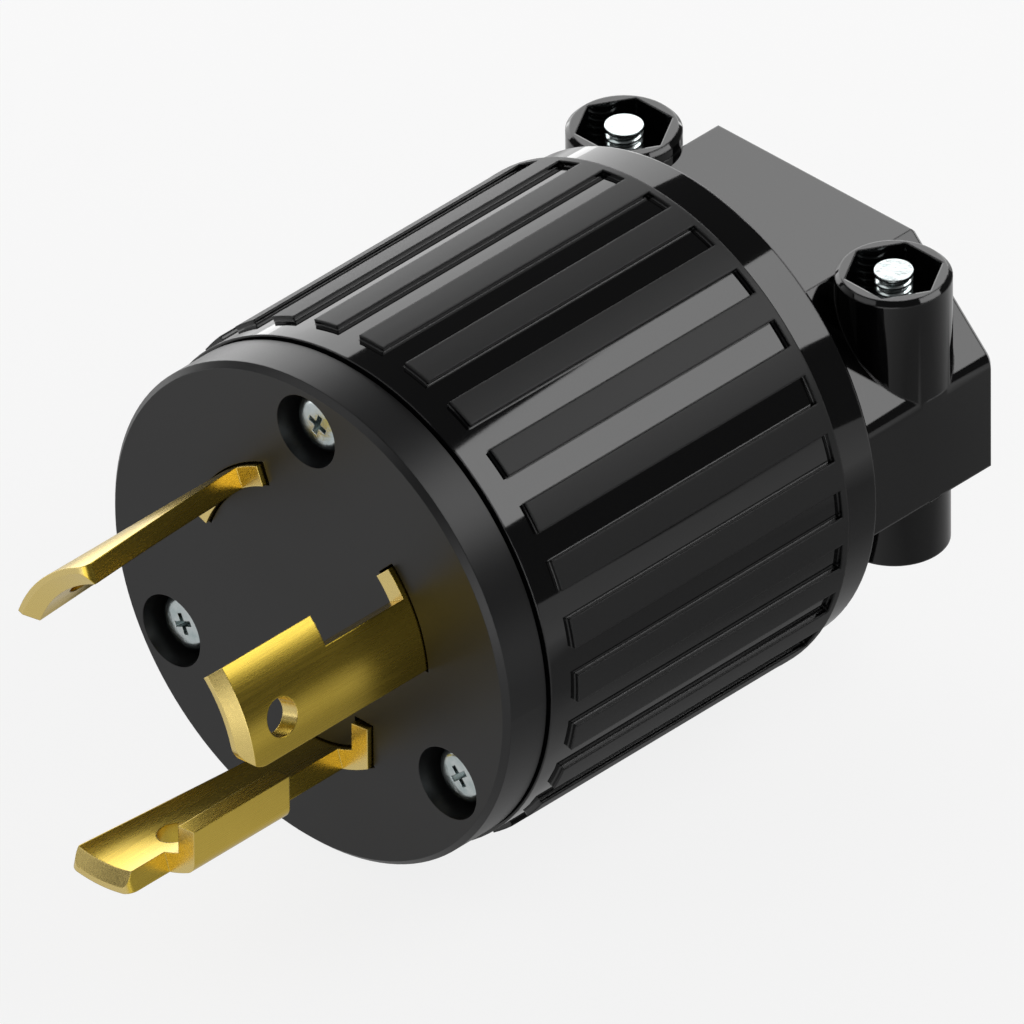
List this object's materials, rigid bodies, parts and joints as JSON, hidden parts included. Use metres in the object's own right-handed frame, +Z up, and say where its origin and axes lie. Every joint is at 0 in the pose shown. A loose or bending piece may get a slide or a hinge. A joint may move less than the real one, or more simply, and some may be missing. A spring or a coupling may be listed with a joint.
{
  "type": "locking power plug",
  "caption": "Locking power plug: a round housing with grip pads, curved turn-to-lock blades at the face and a screwed cord clamp at the rear.",
  "frame": {"origin": "centre of the front mating face", "axes": "+Y along the plug's axis from the face to the cord clamp, +Z up along the clamp screws"},
  "size_m": [0.05, 0.0917, 0.05],
  "materials": {
    "cap_nylon": "fine matte charcoal",
    "housing_nylon": "smooth glossy black",
    "carrier_nylon": "matte black",
    "blade_brass": "rolled brass, lightly brushed",
    "plated_steel": "bright zinc plate",
    "green_steel": "green dyed plate"
  },
  "bodies": {
    "root": {"front_cap": "cap_nylon", "body_shell": "housing_nylon", "clamp_jaw": "housing_nylon", "line_blade": "blade_brass", "neutral_blade": "blade_brass", "ground_blade": "blade_brass", "terminal_carrier": "carrier_nylon", "terminal_plate_line": "blade_brass", "terminal_plate_neutral": "plated_steel", "terminal_plate_ground": "plated_steel", "terminal_screw_line": "blade_brass", "terminal_screw_neutral": "plated_steel", "terminal_screw_ground": "green_steel", "assembly_screw_top": "plated_steel", "assembly_screw_left": "plated_steel", "assembly_screw_right": "plated_steel", "threaded_insert_top": "blade_brass", "threaded_insert_left": "blade_brass", "threaded_insert_right": "blade_brass", "clamp_screw_left": "plated_steel", "clamp_screw_right": "plated_steel", "clamp_nut_left": "plated_steel", "clamp_nut_right": "plated_steel"}
  },
  "joints": []
}
